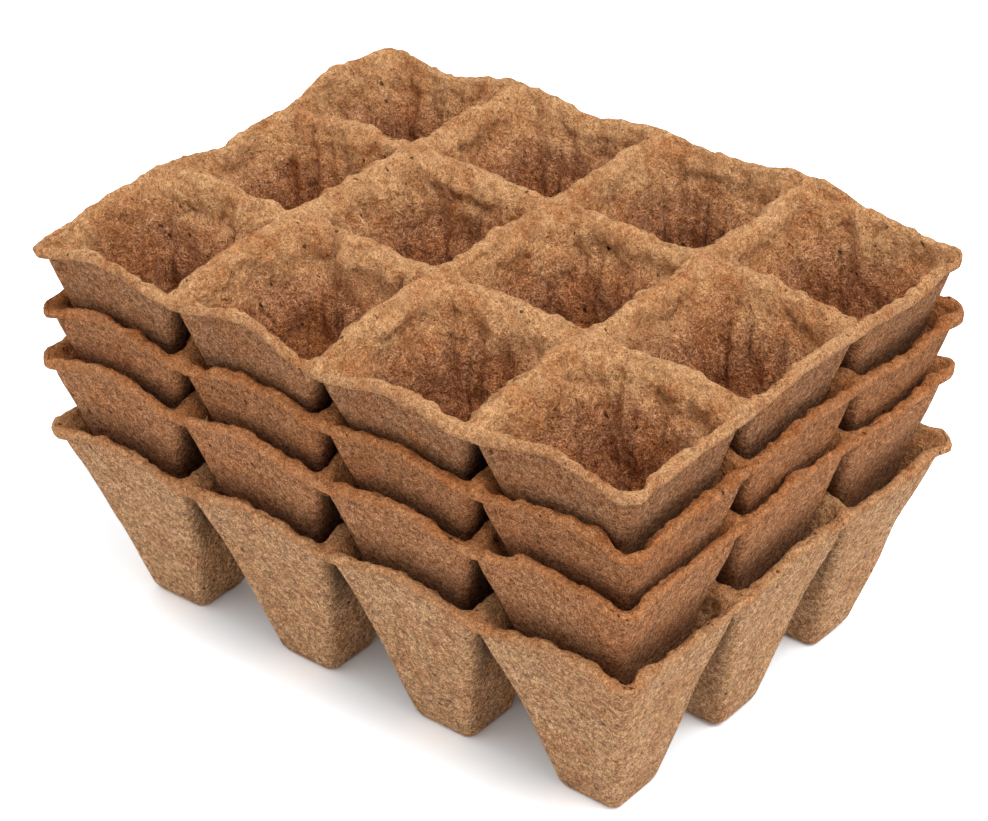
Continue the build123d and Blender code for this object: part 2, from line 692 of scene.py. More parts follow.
    def fitted(self, skinned: Skinned, face: Skin) -> None:
        """Bend the regular pattern to the tray's real edge, lean, ears and waves.

        Args:
            skinned: Points to move.
            face: Which face of the tray they are.
        """
        pot = self.pot
        unit = skinned.unit
        place = skinned.place
        which = 0 if face is Skin.INSIDE else 1
        start, ear_start = self.squeeze_starts[which], self.ear_starts[which]
        squeeze = pot.half_pitch - pot.lip_start
        halves = (self.half_length, self.half_width)
        for axis, half in enumerate(halves):
            out = np.abs(unit[:, axis]) - (half - pot.half_pitch)
            share = np.clip((out - start) / (pot.half_pitch - start), 0, 1)
            place[:, axis] -= np.sign(unit[:, axis]) * squeeze * share ** 2
        for axis, half in enumerate(halves):
            other = 1 - axis
            near = eased(ear_start, pot.half_pitch, np.abs(unit[:, axis]) - (half - pot.half_pitch))
            push = self.rim.ear(halves[other] - np.abs(unit[:, other]))
            place[:, axis] += np.sign(unit[:, axis]) * push * near
        fall = 1 - unit[:, 2] / pot.height
        for axis, half in enumerate(halves):
            place[:, axis] -= self.lean[axis] * unit[:, axis] / (half - pot.half_pitch) * fall
        low_share, high_share = self.wave_shares
        held = eased(low_share * pot.height, high_share * pot.height, unit[:, 2])
        place[:, 2] += self.rim.rise(unit[:, 0], unit[:, 1]) * held

    def wall_folds(self, skinned: Skinned) -> tuple[np.ndarray, np.ndarray]:
        """Crumple the insides of the cells: flutes that fan out upwards, and sharp creases.

        Args:
            skinned: Points of the tray's inner face.

        Returns:
            How far each point moves into the cell, and how creased it is.
        """
        pot = self.pot
        mouth = pot.mouth_half - pot.across
        height = skinned.unit[:, 2]
        down = pot.height - height
        half = np.maximum(pot.foot_half + pot.taper * height - pot.across, 6)
        row, file = np.divmod(skinned.pot_number, pot.files)
        centre = np.column_stack([row - (pot.rows - 1) / 2, file - (pot.files - 1) / 2]) * pot.pitch
        fan = centre + (skinned.unit[:, :2] - centre) * (mouth / half)[:, None]
        floor_start, floor_end = self.floor_clear
        inside = eased(*self.mouth_clear, down)
        inside = inside * eased(pot.floor + floor_start, pot.floor + floor_end, height)
        flutes = self.lumps.crumpled(np.column_stack([fan, down / self.flute_draw]), self.flute_width, 3)
        broad = self.other_lumps.at(skinned.unit, self.dent_width)
        amount = (self.flute_depth * flutes + self.dent_depth * broad) * inside
        crease = np.zeros(len(height))
        wall_ends = eased(mouth, mouth - self.wall_end_fade, np.abs(skinned.along) * mouth / half)
        for number in range(pot.rows * pot.files):
            for side in range(4):
                mine = (skinned.pot_number == number) & (skinned.side == side)
                moved, marked = self.creases(skinned.along[mine], down[mine], side == FOLDED_SIDE)
                amount[mine] += moved * inside[mine] * wall_ends[mine]
                crease[mine] = np.maximum(crease[mine], marked * inside[mine] * wall_ends[mine])
        return amount, crease

    def creases(self, along: np.ndarray, down: np.ndarray, folded: bool) -> tuple[np.ndarray, np.ndarray]:
        """Press bent creases into one wall of one cell: a long fold under the ridge, and smaller ones.

        Args:
            along: Places along the wall.
            down: Depths below the mouth.
            folded: Whether the long folds of this wall may be deep ones.

        Returns:
            Movement of each point, and how deep in a crease it lies.
        """
        random = self.random
        moved = np.zeros(len(along))
        marked = np.zeros(len(along))
        for number in range(random.integers(self.folds_fewest, self.folds_most + 1)):
            long_fold = number < self.long_folds
            kind = LONG_FOLD if long_fold else SMALL_CREASE
            deep_fold = folded and long_fold and random.random() < self.deep_fold_chance
            start = random.uniform(-kind.start, kind.start)
            depth = random.uniform(*kind.depth)
            angle = random.uniform(-kind.turn, kind.turn)
            length = random.uniform(*kind.length)
            bend = random.uniform(-kind.bend, kind.bend)
            width = random.uniform(*kind.width)
            height = random.uniform(*kind.height)
            height = height * self.deep_fold_share if deep_fold else height
            run = (along - start) * math.cos(angle) + (down - depth) * math.sin(angle)
            wander = kind.wander * np.sin(run * random.uniform(*kind.wander_turn) + random.uniform(0, 6))
            off = -(along - start) * math.sin(angle) + (down - depth) * math.cos(angle)
            off = off - bend * run ** 2 - wander
            ends = eased(length / 2 + kind.end_fade[0], length / 2 + kind.end_fade[1], np.abs(run))
            hollow = np.exp(-((off / width) ** 2)) * ends
            hump = np.exp(-(((off + kind.hump_off * width) / (kind.hump_width * width)) ** 2)) * ends
            moved += height * (kind.hump_share * hump - hollow)
            # How deep in a crease a point lies sets how much shade is painted there
            marked = np.maximum(marked, hollow * min(height, self.darkest_crease_shade))
        return moved, marked

    def rim_lumps(self, skinned: Skinned) -> np.ndarray:
        """Make ridges and mouths lumpy and crumpled.

        Args:
            skinned: Points of the tray's inner face.

        Returns:
            How far each point moves out of the skin.
        """
        start, whole = self.ridge_near
        near = eased(self.pot.height - start, self.pot.height - whole, skinned.unit[:, 2])
        size, height = self.ridge_lump
        broad = height * self.lumps.at(skinned.unit, size)
        size, height = self.ridge_crumple
        crumpled = height * self.other_lumps.crumpled(skinned.unit, size, 3)
        size, height = self.ridge_fine_lump
        fine = height * self.lumps.layered(skinned.unit + 90, size, 2)
        return near * (broad + crumpled + fine)

    def outside_lumps(self, skinned: Skinned) -> np.ndarray:
        """Make the pots' outsides uneven where no other tray touches them.

        Args:
            skinned: Points of the tray's outer face.

        Returns:
            How far each point moves out of the skin.
        """
        low_share, high_share = self.free_shares
        free = eased(low_share * self.pot.height, high_share * self.pot.height, skinned.unit[:, 2])
        room = self.outer_room + (1 - self.outer_room) * free
        size, height = self.outer_lump
        broad = height * self.lumps.at(skinned.unit, size)
        size, height = self.outer_fine_lump
        fine = height * self.other_lumps.layered(skinned.unit, size, 2)
        return room * (broad + fine)

    def zones(self, skinned: Skinned, face: Skin, crease: np.ndarray) -> None:
        """Note which finish each point takes: ridge, depth in the cell with its painted shade, outside,
        painted shade in creases, and painted shade in channels and covered places.

        Args:
            skinned: Points to mark.
            face: Which face of the tray they are.
            crease: How creased each point is.
        """
        pot = self.pot
        x, y, height = np.abs(skinned.unit[:, 0]), np.abs(skinned.unit[:, 1]), skinned.unit[:, 2]
        if face is Skin.INSIDE:
            skinned.zone[:, 0] = eased(*self.ridge_fade, pot.height - height)
            # Painted shade: darker and redder with depth under the mouth
            skinned.zone[:, 1] = eased(*self.deep_shade_fade, pot.height - height)
            # Painted shade in the creases
            skinned.zone[:, 3] = crease
            within = np.minimum(self.half_length - x, self.half_width - y)
            # Painted shade on the inside of a tray that another tray covers, growing inwards from the edge
            if self.nest is not Nest.TOP:
                skinned.painted_shade = self.covered_shade * eased(*self.cover_edge, within)
        else:
            skinned.zone[:, 2] = 1.0
            reach = pot.foot_half + pot.taper * height - pot.half_pitch
            within = np.minimum(self.half_length - x, self.half_width - y) + reach
            # Painted shade in the channels between pots, high under the ridges
            low_share, high_share = self.channel_shares
            under_ridge = eased(low_share * pot.height, high_share * pot.height, height)
            skinned.painted_shade = eased(*self.channel_edge, within) * under_ridge
            # Painted shade where the outside sits inside the tray below
            if self.nest is not Nest.LOWEST:
                nested = eased(self.nested_height + 6, self.nested_height - 4, height)
                nested = nested * eased(-6.0, 14.0, height)
                skinned.painted_shade = 1 - (1 - skinned.painted_shade) * (1 - self.nested_shade * nested)

    def edge_loop(self, faces: np.ndarray) -> np.ndarray:
        """Chain the open edge of a face of the tray.

        Args:
            faces: Rows of four indices.

        Returns:
            Indices of the points round the edge, in order.
        """
        pairs = np.concatenate([faces[:, (side, (side + 1) % 4)] for side in range(4)])
        pairs = pairs[pairs[:, 0] != pairs[:, 1]]
        known = {(int(a), int(b)) for a, b in pairs}
        following = {a: b for a, b in known if (b, a) not in known}
        loop = [next(iter(following))]
        while following[loop[-1]] != loop[0]:
            loop.append(following[loop[-1]])
        return np.array(loop)

    def normals(self, points: np.ndarray, faces: np.ndarray) -> np.ndarray:
        """Work out the direction that each point faces.

        Args:
            points: Rows of x, y, z.
            faces: Rows of four indices.

        Returns:
            Rows of unit directions.
        """
        across = points[faces[:, 2]] - points[faces[:, 0]]
        down = points[faces[:, 3]] - points[faces[:, 1]]
        flat = np.cross(across, down)
        total = np.zeros_like(points)
        for corner in range(4):
            np.add.at(total, faces[:, corner], flat)
        return total / np.maximum(np.linalg.norm(total, axis=1), 1e-12)[:, None]

    def lip(self, top: np.ndarray, under: np.ndarray) -> tuple[np.ndarray, np.ndarray]:
        """Run the ragged lip round the tray between the edges of its two faces.

        Args:
            top: Points round the inner face's edge, in order.
            under: Points round the outer face's edge, in the same order.

        Returns:
            Rows of points for each step between the edges, and the lip's zone values.
        """
        middle = (top + under) / 2
        ahead = np.roll(middle, -1, axis=0) - np.roll(middle, 1, axis=0)
        outward = np.column_stack([ahead[:, 1], -ahead[:, 0], np.zeros(len(ahead))])
        outward /= np.linalg.norm(outward, axis=1)[:, None]
        outward = (np.roll(outward, 1, axis=0) + outward * 2 + np.roll(outward, -1, axis=0)) / 4
        size, height = self.lip_ragged
        ragged = height * self.lumps.layered(middle, size, 3)
        size, height = self.lip_fine_ragged
        ragged = ragged + height * self.other_lumps.layered(middle, size, 2)
        reach = np.maximum(self.pot.lip_reach + ragged, self.least_lip)
        size, height = self.lip_droop_lump
        droop = height * self.other_lumps.at(middle + 40, size)
        rows = []
        for step in range(1, self.lip_steps):
            turn = math.pi * step / self.lip_steps
            swell = (top - under) / 2 * math.cos(turn)
            out = outward * (reach * math.sin(turn) ** self.lip_bluntness)[:, None]
            fall = np.column_stack([np.zeros((len(reach), 2)), droop * math.sin(turn)])
            rows.append(middle + swell + out + fall)
        return np.array(rows), np.tile(self.lip_zone, (len(rows) * len(top), 1))

    def build(self) -> bpy.types.Object:
        """Make the tray's mesh.

        Returns:
            The tray as an object in the row frame.
        """
        inside, inside_faces = self.skin(Skin.INSIDE)
        outside, outside_faces = self.skin(Skin.OUTSIDE)
        outside_faces = outside_faces[:, ::-1]
        folds, crease = self.wall_folds(inside)
        self.fitted(inside, Skin.INSIDE)
        self.fitted(outside, Skin.OUTSIDE)
        self.zones(inside, Skin.INSIDE, crease)
        self.zones(outside, Skin.OUTSIDE, np.zeros(len(outside.unit)))
        deep = eased(*self.room_fade, self.pot.height - inside.unit[:, 2])
        room = 1 - (1 - self.inner_room) * deep
        moved = (folds + self.rim_lumps(inside)) * room
        if self.nest is not Nest.TOP:
            below = inside.unit[:, 2] < self.pot.height - self.cover_depth
            moved = np.where(below, np.minimum(moved, self.cover_room), moved)
        inside.place += self.normals(inside.place, inside_faces) * moved[:, None]
        bulge = self.outside_lumps(outside)
        flat_foot = eased(0.0, self.foot_flat, outside.unit[:, 2])
        outside.place += self.normals(outside.place, outside_faces) * (bulge * flat_foot)[:, None]
        top_loop = self.edge_loop(inside_faces)
        used = np.unique(outside_faces)
        by_plan = {tuple(np.round(outside.unit[index, :2], 3)): index for index in used}
        under_loop = np.array([by_plan[tuple(np.round(inside.unit[index, :2], 3))] for index in top_loop])
        rows, lip_zone = self.lip(inside.place[top_loop], outside.place[under_loop])
        shift = len(inside.place)
        lip_start = shift + len(outside.place)
        loops = [top_loop]
        for number in range(len(rows)):
            loops.append(lip_start + number * len(top_loop) + np.arange(len(top_loop)))
        loops.append(under_loop + shift)
        lip_faces = []
        for upper, lower in zip(loops, loops[1:]):
            lip_faces.append(band(upper, lower))
        points = np.concatenate([inside.place, outside.place, rows.reshape(-1, 3)])
        zone = np.concatenate([inside.zone, outside.zone, lip_zone])
        faces = np.concatenate([inside_faces, outside_faces + shift, *lip_faces])
        made = shell_object(self.nest.node + "_moulding", points + self.middle, faces, zone)
        # The painted shade goes to the mesh for the material
        painted_shade = np.concatenate([inside.painted_shade, outside.painted_shade, np.zeros(len(lip_zone))])
        marks = made.data.attributes.new(name="painted_shade", type="FLOAT", domain="POINT")
        marks.data.foreach_set("value", painted_shade.astype(np.float32))
        return made


def shell_object(name: str, points: np.ndarray, faces: np.ndarray, zone: np.ndarray) -> bpy.types.Object:
    """Make a smooth object from points in millimetres.

    Args:
        name: Name of the object.
        points: Rows of x, y, z in millimetres.
        faces: Rows of four indices; a triangle repeats its last index.
        zone: Rows of four values for the finish.

    Returns:
        The object, in the row frame.
    """
    mesh = bpy.data.meshes.new(name)
    rows = [row[:3] if row[2] == row[3] else row for row in merged(faces).tolist()]
    mesh.from_pydata((points * MM).tolist(), [], rows)
    marks = mesh.color_attributes.new(name="zone", type="FLOAT_COLOR", domain="POINT")
    marks.data.foreach_set("color", zone.astype(np.float32).ravel())
    mesh.shade_smooth()
    mesh.validate()
    mesh.update()
    made = bpy.data.objects.new(name, mesh)
    bpy.context.scene.collection.objects.link(made)
    return made


def merged(faces: np.ndarray) -> np.ndarray:
    """Write each triangle with its repeated index last.

    Args:
        faces: Rows of four indices, some of them triangles with a repeated index.

    Returns:
        The same faces.
    """
    turned = faces.copy()
    for _ in range(3):
        a, b, c, d = turned.T
        repeated = (a == b) | (b == c) | (d == a)
        turned[repeated] = np.roll(turned[repeated], 1, axis=1)
    return turned


@dataclass
class LooseFibres:
    """Fine fibres that stand off a tray's rim, ridges and walls, in millimetres.

    Each fibre is a thin tapered strand of rings, rooted just under the surface at a point of the tray.
    """

    shell: TrayShell
    count: int = 2200
    shortest: float = 1.2
    longest: float = 3.6
    length_shares: tuple[float, float] = (0.4, 1.0)
    thinnest: float = 0.05
    thickest: float = 0.11
    taper: float = 0.75
    root_depth: float = 0.1
    droop: float = 0.25
    sideways: float = 0.5
    lifts: tuple[float, float] = (0.05, 0.75)
    lift_power: float = 1.5
    rings: int = 4
    sides: int = 3
    likely_anywhere: float = 0.12
    likely_on_lip: float = 2.5
    foot_clear: float = 2.0

    def build(self, moulding: bpy.types.Object) -> bpy.types.Object:
        """Lay the fibres on a finished tray.

        Args:
            moulding: The tray that they stand on.

        Returns:
            All fibres as one object in the row frame.
        """
        random = np.random.default_rng(self.shell.seed + FIBRES_STEP)
        points, normals, zone = self.read(moulding.data)
        roots = random.choice(len(points), self.count, p=self.likely(points, zone))
        facing = normals[roots]
        lying = random.normal(size=(self.count, 3))
        lying -= facing * np.sum(lying * facing, axis=1)[:, None]
        lying /= np.linalg.norm(lying, axis=1)[:, None]
        lift = random.uniform(*self.lifts, self.count)[:, None] ** self.lift_power
        ahead = lying + facing * lift
        ahead /= np.linalg.norm(ahead, axis=1)[:, None]
        aside = random.uniform(-self.sideways, self.sideways, self.count)[:, None]
        bend = np.cross(facing, lying) * aside - facing * self.droop
        length = random.uniform(self.shortest, self.longest, self.count)
        length = length * random.uniform(*self.length_shares, self.count)
        radius = random.uniform(self.thinnest, self.thickest, self.count)
        tone = random.uniform(0, 1, self.count)
        side_way = np.cross(ahead, facing)
        side_way /= np.maximum(np.linalg.norm(side_way, axis=1), 1e-9)[:, None]
        up_way = np.cross(side_way, ahead)
        rows = []
        for ring in range(self.rings):
            share = ring / (self.rings - 1)
            run = (ahead * share + bend * share ** 2) * length[:, None]
            spine = points[roots] - facing * self.root_depth + run
            size = radius * (1 - self.taper * share)
            for side in range(self.sides):
                turn = 2 * math.pi * side / self.sides
                off = side_way * math.cos(turn) + up_way * math.sin(turn)
                rows.append(spine + off * size[:, None])
        strands = np.stack(rows, axis=1).reshape(-1, 3)
        marks = np.repeat(np.column_stack([tone, tone, tone, tone]), self.rings * self.sides, axis=0)
        return shell_object(self.shell.nest.node + "_loose_fibres", strands, self.strand_faces(), marks)

    def read(self, mesh: bpy.types.Mesh) -> tuple[np.ndarray, np.ndarray, np.ndarray]:
        """Read the tray's mesh.

        Args:
            mesh: The moulding's mesh.

        Returns:
            Its points in millimetres, their directions and their zone values.
        """
        total = len(mesh.vertices)
        points = np.zeros(total * 3)
        mesh.vertices.foreach_get("co", points)
        normals = np.zeros(total * 3)
        mesh.vertices.foreach_get("normal", normals)
        zone = np.zeros(total * 4)
        mesh.color_attributes["zone"].data.foreach_get("color", zone)
        return points.reshape(-1, 3) / MM, normals.reshape(-1, 3), zone.reshape(-1, 4)

    def likely(self, points: np.ndarray, zone: np.ndarray) -> np.ndarray:
        """Give each point's chance of a fibre: most on the lip and ridges, none at the feet.

        Args:
            points: The tray's points.
            zone: Their zone values.

        Returns:
            Chances that add up to one.
        """
        on_lip = (zone[:, 0] > 0.7) * (zone[:, 2] > 0.1)
        chance = self.likely_anywhere + zone[:, 0] + self.likely_on_lip * on_lip
        chance = chance * (points[:, 2] > self.shell.middle[2] + self.foot_clear)
        return chance / chance.sum()

    def strand_faces(self) -> np.ndarray:
        """Join every strand's rings with faces and close its two ends.

        Returns:
            Rows of four indices; a triangle repeats its last index.
        """
        each = self.rings * self.sides
        starts = np.arange(self.count)[:, None] * each
        faces = []
        for ring in range(self.rings - 1):
            for side in range(self.sides):
                here = ring * self.sides + side
                beside = ring * self.sides + (side + 1) % self.sides
                faces.append(starts + np.array([here, beside, beside + self.sides, here + self.sides]))
        for first, second, third in ((2, 1, 0), (each - 3, each - 2, each - 1)):
            faces.append(starts + np.array([first, second, third, third]))
        return np.concatenate(faces)


class Weave:
    """A short way to wire up one material's nodes."""

    def __init__(self, name: str) -> None:
        """Start a material with an empty tree."""
        self.material = bpy.data.materials.new(name)
        self.material.use_nodes = True
        self.tree = self.material.node_tree
        self.tree.nodes.clear()

    @classmethod
    def on(cls, tree: bpy.types.NodeTree) -> "Weave":
        """Wire up a tree that is not a material's, from empty."""
        made = cls.__new__(cls)
        made.tree = tree
        tree.nodes.clear()
        return made

    def add(self, kind: str, **inputs: object) -> bpy.types.Node:
        """Add a node and set or link its inputs.

        Args:
            kind: The node's type, without ShaderNode.
            **inputs: Values or output sockets by input name, blanks written as underscores.

        Returns:
            The node.
        """
        node = self.tree.nodes.new("ShaderNode" + kind)
        for name, value in inputs.items():
            self.feed(node.inputs[name.replace("_", " ")], value)
        return node

    def feed(self, socket: bpy.types.NodeSocket, value: object) -> None:
        """Link an output to a socket, or set the socket's own value.

        Args:
            socket: The input socket.
            value: An output socket or a plain value.
        """
        if isinstance(value, bpy.types.NodeSocket):
            self.tree.links.new(value, socket)
        else:
            socket.default_value = value

    def math(self, operation: str, first: object, second: object = 0.0) -> bpy.types.NodeSocket:
        """Join two values with one operation.

        Args:
            operation: Name of the operation.
            first: First value or socket.
            second: Second value or socket.

        Returns:
            The result's socket.
        """
        node = self.tree.nodes.new("ShaderNodeMath")
        node.operation = operation
        self.feed(node.inputs[0], first)
        self.feed(node.inputs[1], second)
        return node.outputs[0]

    def ramp(self, value: bpy.types.NodeSocket, low: float, high: float,
             start: float = 0.0, end: float = 1.0) -> bpy.types.NodeSocket:
        """Grade a value from start at low to end at high, and hold it outside them.

        Args:
            value: Socket to grade.
            low: Value where the grading starts.
            high: Value where it ends.
            start: Result at low.
            end: Result at high.

        Returns:
            The graded socket.
        """
        node = self.add("MapRange", Value=value, From_Min=low, From_Max=high, To_Min=start, To_Max=end)
        return node.outputs["Result"]

    def blend(self, share: object, first: object, second: object, how: str = "MIX") -> bpy.types.NodeSocket:
        """Mix two colours.

        Args:
            share: How much of the second.
            first: First colour or socket.
            second: Second colour or socket.
            how: Name of the way they mix.

        Returns:
            The mixed colour's socket.
        """
        node = self.tree.nodes.new("ShaderNodeMix")
        node.data_type = "RGBA"
        node.blend_type = how
        self.feed(node.inputs[0], share)
        self.feed(node.inputs[6], first)
        self.feed(node.inputs[7], second)
        return node.outputs[2]

    def noise(self, where: bpy.types.NodeSocket, size: float, detail: float = 2.0,
              rough: float = 0.5, warp: float = 0.0) -> bpy.types.NodeSocket:
        """Read smooth noise.

        Args:
            where: Coordinates in metres.
            size: Size of one lump in millimetres.
            detail: Finer layers added.
            rough: How strong the finer layers are.
            warp: How much the noise distorts itself.

        Returns:
            The noise value's socket.
        """
        node = self.add("TexNoise", Vector=where, Scale=1 / (size * MM), Detail=detail,
                        Roughness=rough, Distortion=warp)
        return node.outputs[0]

    def drawn_out(self, where: bpy.types.NodeSocket, turn: tuple[float, float, float],
                  draw: float) -> bpy.types.NodeSocket:
        """Draw coordinates out in one direction.

        Args:
            where: Coordinates in metres.
            turn: Turn of that direction about x, y and z, in radians.
            draw: How many times longer things come out that way.

        Returns:
            The drawn out coordinates' socket.
        """
        mapping = self.add("Mapping", Vector=where)
        mapping.vector_type = "TEXTURE"
        mapping.inputs["Rotation"].default_value = turn
        mapping.inputs["Scale"].default_value = (draw, 1.0, 1.0)
        return mapping.outputs[0]

    def mark(self, name: str) -> bpy.types.Node:
        """Read what the mesh's points are marked with under a name."""
        marks = self.add("Attribute")
        marks.attribute_name = name
        return marks

    def shown(self, surface: bpy.types.Node, kind: str = "OutputMaterial") -> None:
        """Show a surface, or a world's background, as the tree's result."""
        self.feed(self.add(kind).inputs["Surface"], surface.outputs[0])


@dataclass(frozen=True)
class FibreLay:
    """Fibres that lie one way in the felt: their turn in radians, and width and length in millimetres."""

    turn: tuple[float, float, float]
    width: float
    length: float


@dataclass(frozen=True)
class Specks:
    """Bark specks: millimetres apart, the largest's share of that, turn in radians and length over width."""

    spacing: float
    largest: float
    turn: tuple[float, float, float]
    draw: float


PALE_LAYS = (FibreLay((0.3, 0.5, 0.7), 0.34, 4.4), FibreLay((1.2, -0.4, 2.3), 0.3, 3.6))
DARK_LAYS = (FibreLay((-0.7, 1.1, 4.1), 0.36, 4.6), FibreLay((0.9, 0.2, 5.3), 0.32, 3.4))
LARGE_SPECKS = Specks(3.6, 0.2, (0.4, 0.9, 0.5), 2.4)
SMALL_SPECKS = Specks(1.4, 0.3, (1.1, 0.3, 1.7), 1.4)


@dataclass(frozen=True)
class PeatFinish:
    """Moulded peat fibre: matt, felted, flecked with bark, paler on ridges and redder in the cells, with
    painted shade in the cells' depths, the creases, the channels between pots and the covered places.

    Sizes are in millimetres, and the weights say how much each noise lifts the felt.
    """

    name: str
    ridge: tuple[int, int, int] = (232, 174, 120)
    cell: tuple[int, int, int] = (218, 154, 108)
    # depth: painted shade of the cells' depths
    depth: tuple[int, int, int] = (172, 108, 68)
    outside: tuple[int, int, int] = (219, 167, 119)
    rust: tuple[int, int, int] = (190, 112, 58)
    grey: tuple[int, int, int] = (196, 154, 122)
    # bark colour, also used for the painted shade in creases
    bark: tuple[int, int, int] = (38, 20, 11)
    # painted shade colour, for the channels between pots and the covered and nested places
    painted_shade_colour: tuple[int, int, int] = (40, 22, 13)
    pale_gain: tuple[float, float, float] = (1.5, 1.6, 1.75)
    rust_share: float = 0.4
    roughness: float = 0.93
    specular: float = 0.12
    broad_size: float = 14.0
    patch_size: float = 4.2
    felt_size: float = 1.7
    fine_size: float = 0.5
    swirl_size: float = 8.0
    swirl_reach: float = 7.0
    relief: float = 1.3
    fibre_weight: float = 0.3
    felt_weight: float = 1.7
    fine_weight: float = 0.5
    patch_weight: float = 2.0

    def material(self) -> bpy.types.Material:
        """Make the finish's material."""
        return PeatWeave(self).dressed()


class PeatWeave(Weave):
    """The nodes of moulded peat fibre, with the marks and noises that its layers share."""

    def __init__(self, finish: PeatFinish) -> None:
        """Read the mesh's marks and lay the noises.

        Args:
            finish: Colours and sizes of the fibre.
        """
        super().__init__(finish.name)
        self.finish = finish
        self.where = self.add("TexCoord").outputs["Object"]
        zone = self.mark("zone")
        split = self.add("SeparateColor", Color=zone.outputs["Color"])
        self.ridge, self.depth, self.outside = split.outputs[:3]
        self.crease = zone.outputs["Alpha"]
        self.painted_shade = self.mark("painted_shade").outputs["Fac"]
        self.broad = self.noise(self.where, finish.broad_size, 2.0, 0.6)
        self.patch = self.noise(self.where, finish.patch_size, 3.0, 0.65)
        self.felt = self.noise(self.where, finish.felt_size, 3.0, 0.75)
        self.fine = self.noise(self.where, finish.fine_size, 1.0, 0.7)
        bent = self.bent()
        self.pale = self.ramp(self.fibres(bent, PALE_LAYS), 0.58, 0.72)
        self.dark = self.ramp(self.fibres(bent, DARK_LAYS), 0.6, 0.74)

    def dressed(self) -> bpy.types.Material:
        """Lay the colours, the relief and the shader.

        Returns:
            The material.
        """
        finish = self.finish
        # Painted shade: darkened towards the shade colour in the channels and the covered and nested places
        colour = self.blend(self.painted_shade, self.ground(), linear(*finish.painted_shade_colour))
        colour = self.flecked(self.felted(colour))
        rough = self.ramp(self.felt, 0.3, 0.7, finish.roughness - 0.08, finish.roughness + 0.05)
        bump = self.add("Bump", Height=self.height(), Strength=1.0, Distance=finish.relief * MM)
        shader = self.add("BsdfPrincipled", Base_Color=colour, Roughness=rough, Normal=bump.outputs[0])
        shader.inputs["Specular IOR Level"].default_value = finish.specular
        self.shown(shader)
        return self.material

    def bent(self) -> bpy.types.NodeSocket:
        """Bend the coordinates, so that fibres lie in turning directions."""
        finish = self.finish
        swirl = self.add("TexNoise", Vector=self.where, Scale=1 / (finish.swirl_size * MM), Detail=1.0)
        turned = self.add("VectorMath")
        turned.operation = "MULTIPLY_ADD"
        self.feed(turned.inputs[0], swirl.outputs["Color"])
        self.feed(turned.inputs[1], (finish.swirl_reach * MM,) * 3)
        self.feed(turned.inputs[2], self.where)
        return turned.outputs[0]

    def fibres(self, bent: bpy.types.NodeSocket, lays: tuple[FibreLay, ...]) -> bpy.types.NodeSocket:
        """Read noise drawn out as short fibres, and keep the strongest lay at each place.

        Args:
            bent: Coordinates in metres.
            lays: The lays of fibres.

        Returns:
            The noise value's socket.
        """
        strongest = None
        for lay in lays:
            drawn = self.drawn_out(bent, lay.turn, lay.length / lay.width)
            value = self.noise(drawn, lay.width, 2.0, 0.6, 0.35)
            strongest = value if strongest is None else self.math("MAXIMUM", strongest, value)
        return strongest

    def height(self) -> bpy.types.NodeSocket:
        """Add up the relief of the fibres and the noises."""
        finish = self.finish
        total = self.math("SUBTRACT", self.math("MULTIPLY", self.pale, finish.fibre_weight),
                          self.math("MULTIPLY", self.dark, finish.fibre_weight))
        for noise, weight in ((self.felt, finish.felt_weight), (self.fine, finish.fine_weight),
                              (self.patch, finish.patch_weight)):
            total = self.math("ADD", total, self.math("MULTIPLY", noise, weight))
        return total

    def ground(self) -> bpy.types.NodeSocket:
        """Lay the ground colours by where the fibre lies, darker and redder deep in the cells as painted
        shade, with patches of grey and rust.
        """
        finish = self.finish
        # Painted shade: the cell colour darkens towards the depth colour further down
        inside = self.blend(self.depth, linear(*finish.cell), linear(*finish.depth))
        uneven = self.math("ADD", self.ridge, self.ramp(self.patch, 0.35, 0.65, -0.35, 0.35))
        inside = self.blend(self.ramp(uneven, 0.1, 0.9), inside, linear(*finish.ridge))
        greyed = self.ramp(self.patch, 0.45, 0.65, 0.0, 0.6)
        outer = self.blend(greyed, linear(*finish.outside), linear(*finish.grey))
        colour = self.blend(self.outside, inside, outer)
        rusty = self.math("ADD", self.ramp(self.broad, 0.45, 0.62, 0.0, finish.rust_share),
                          self.ramp(self.patch, 0.52, 0.66, 0.0, finish.rust_share))
        rusty = self.math("MULTIPLY", rusty, self.ramp(self.outside, 0.0, 1.0, 1.0, 0.6))
        return self.blend(rusty, colour, linear(*finish.rust))

    def felted(self, colour: bpy.types.NodeSocket) -> bpy.types.NodeSocket:
        """Break the ground colour up with fibres and the felt's light and dark, more evenly on ridges.

        Args:
            colour: The ground colour.

        Returns:
            The colour's socket.
        """
        paler = self.blend(1.0, colour, (*self.finish.pale_gain, 1.0), "MULTIPLY")
        colour = self.blend(self.math("MULTIPLY", self.pale, 0.7), colour, paler)
        shade = self.ramp(self.felt, 0.34, 0.66, 0.5, 1.5)
        grain = self.ramp(self.fine, 0.32, 0.68, 0.5, 1.5)
        gaps = self.ramp(self.dark, 0.0, 1.0, 1.16, 0.35)
        tone = self.math("MULTIPLY", self.math("MULTIPLY", shade, grain), gaps)
        tone = self.math("POWER", tone, self.ramp(self.ridge, 0.0, 1.0, 1.05, 0.6))
        warm = self.math("POWER", tone, 0.8)
        cool = self.math("POWER", tone, 1.2)
        scaled = self.add("CombineColor", Red=warm, Green=tone, Blue=cool).outputs[0]
        return self.blend(1.0, colour, scaled, "MULTIPLY")

